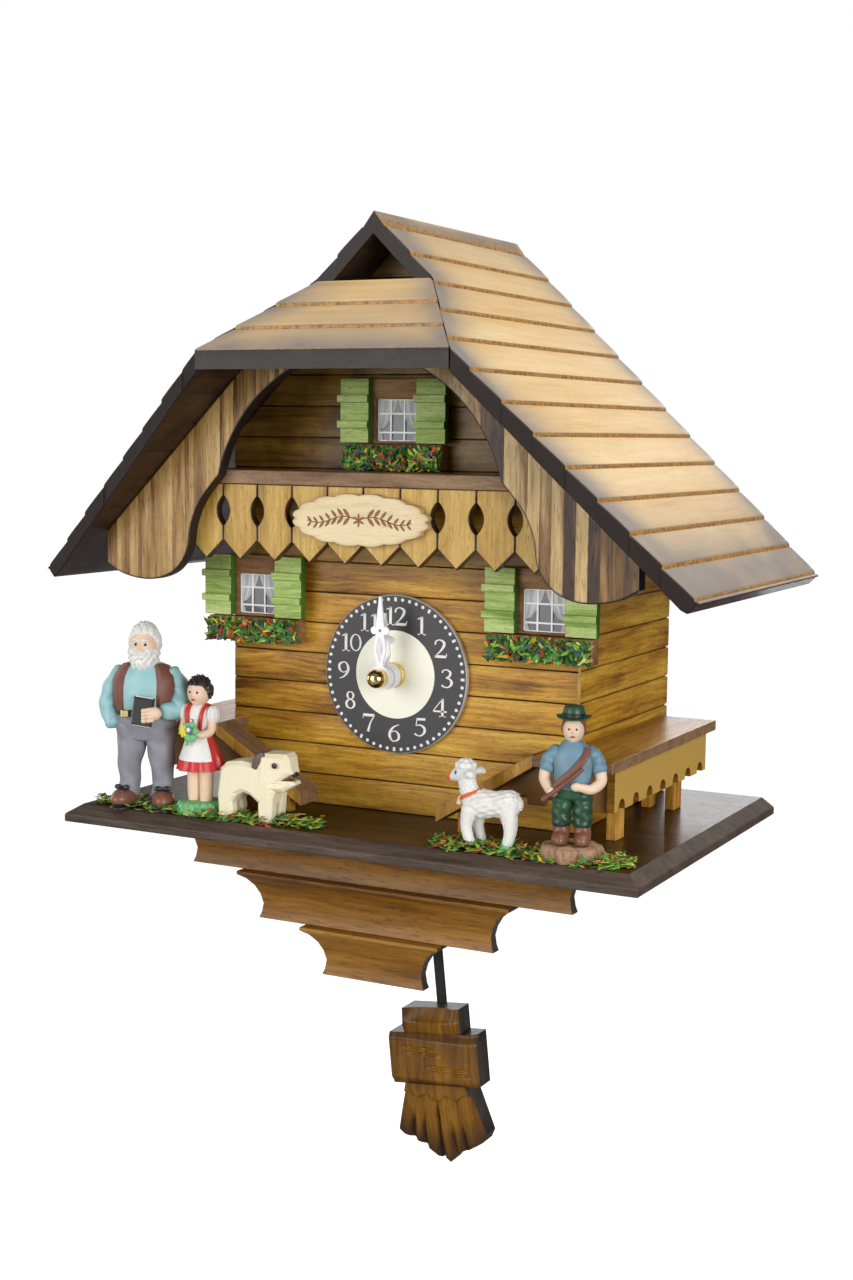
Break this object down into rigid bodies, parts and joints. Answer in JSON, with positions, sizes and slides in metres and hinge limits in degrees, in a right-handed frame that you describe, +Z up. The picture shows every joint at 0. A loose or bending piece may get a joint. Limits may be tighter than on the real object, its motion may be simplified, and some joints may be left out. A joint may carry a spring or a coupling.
{
  "type": "chalet wall clock",
  "caption": "Carved wooden wall clock shaped as a mountain chalet, with a round dial, painted figures on its base board and a swinging pendulum below.",
  "frame": {"origin": "centre of the hanging hole on the back face of the back board", "axes": "+Z up, +Y into the wall, +X to the right of the dial as seen from the room"},
  "size_m": [0.2282, 0.1403, 0.3111],
  "materials": {
    "roof_wood": "satin lacquer, whitewashed with misted edges",
    "honey_wood": "satin lacquer",
    "dark_wood": "satin lacquer, walnut stain",
    "trim_wood": "satin lacquer, striped grain",
    "carved_wood": "satin lacquer",
    "maple": "matte, unstained",
    "shutter_paint": "satin paint, green",
    "frame_wood": "satin stain",
    "pane_card": "printed card",
    "turf": "dyed fibre scatter",
    "figure_paint": "hand-painted resin",
    "lime_wood": "raw carved",
    "dial_card": "printed, satin",
    "hand_paint": "gloss white",
    "brass": "polished",
    "black_plastic": "fine texture",
    "white_plastic": "moulded",
    "cell": "printed sleeve",
    "black_steel": "satin black"
  },
  "bodies": {
    "clock_case": {"roof_left": "roof_wood", "roof_right": "roof_wood", "hip_panel": "roof_wood", "gable_trim_left": "trim_wood", "gable_trim_right": "trim_wood", "front_wall": "honey_wood", "side_wall_left": "honey_wood", "side_wall_right": "honey_wood", "back_board": "honey_wood", "corner_blocks": "honey_wood", "platform_board": "dark_wood", "cornice_upper": "honey_wood", "cornice_middle": "honey_wood", "cornice_lower": "honey_wood", "balcony_shelf": "dark_wood", "balcony_pickets": "carved_wood", "plaque": "maple", "window_frame_upper": "frame_wood", "window_frame_left": "frame_wood", "window_frame_right": "frame_wood", "window_panes": "pane_card", "shutters_upper": "shutter_paint", "shutters_left": "shutter_paint", "shutters_right": "shutter_paint", "flower_box_upper": "turf", "flower_box_left": "turf", "flower_box_right": "turf", "porch_deck_left": "honey_wood", "porch_deck_right": "honey_wood", "porch_apron_left": "trim_wood", "porch_apron_right": "trim_wood", "porch_skirt_left": "trim_wood", "porch_skirt_right": "trim_wood", "stair_rail_left": "dark_wood", "stair_rail_right": "dark_wood", "porch_posts_left": "honey_wood", "porch_posts_right": "honey_wood", "grass_left": "turf", "grass_right": "turf", "old_man": "figure_paint", "girl": "figure_paint", "shepherd": "figure_paint", "lamb": "figure_paint", "dog": "lime_wood", "dial": "dial_card", "movement_housing": "black_plastic", "movement_lid": "black_plastic", "threaded_bush": "brass", "hex_nut": "brass"},
    "minute_train": {"minute_arbor": "white_plastic", "minute_hand": "hand_paint", "cap_nut": "brass"},
    "hour_train": {"hour_wheel": "white_plastic", "hour_hand": "hand_paint"},
    "setting_train": {"motion_wheel": "white_plastic", "setting_knob": "black_plastic"},
    "pendulum": {"pendulum_arm": "black_plastic", "pendulum_rod": "black_steel", "pendulum_bob": "carved_wood"},
    "battery": {"battery": "cell"}
  },
  "joints": [
    {"name": "minute_turn", "type": "hinge", "parent": "clock_case", "child": "minute_train", "pos_m": [0, -0.0824, -0.088], "axis": [0, 1, 0], "continuous": true},
    {"name": "hour_turn", "type": "hinge", "parent": "clock_case", "child": "hour_train", "pos_m": [0, -0.0824, -0.088], "axis": [0, 1, 0], "continuous": true},
    {"name": "setting_turn", "type": "hinge", "parent": "clock_case", "child": "setting_train", "pos_m": [0, -0.0824, -0.098], "axis": [0, 1, 0], "continuous": true},
    {"name": "pendulum_swing", "type": "hinge", "parent": "clock_case", "child": "pendulum", "pos_m": [0, -0.0669, -0.112], "axis": [0, 1, 0], "range_deg": [-1.8, 14.2]},
    {"name": "battery_lift", "type": "slide", "parent": "clock_case", "child": "battery", "axis": [0, 1, 0], "range_m": [0, 0.04]}
  ],
  "couplings": [
    {"joint": "hour_turn", "follows": "minute_turn", "ratio": 0.083333},
    {"joint": "setting_turn", "follows": "minute_turn", "ratio": -0.33333}
  ]
}
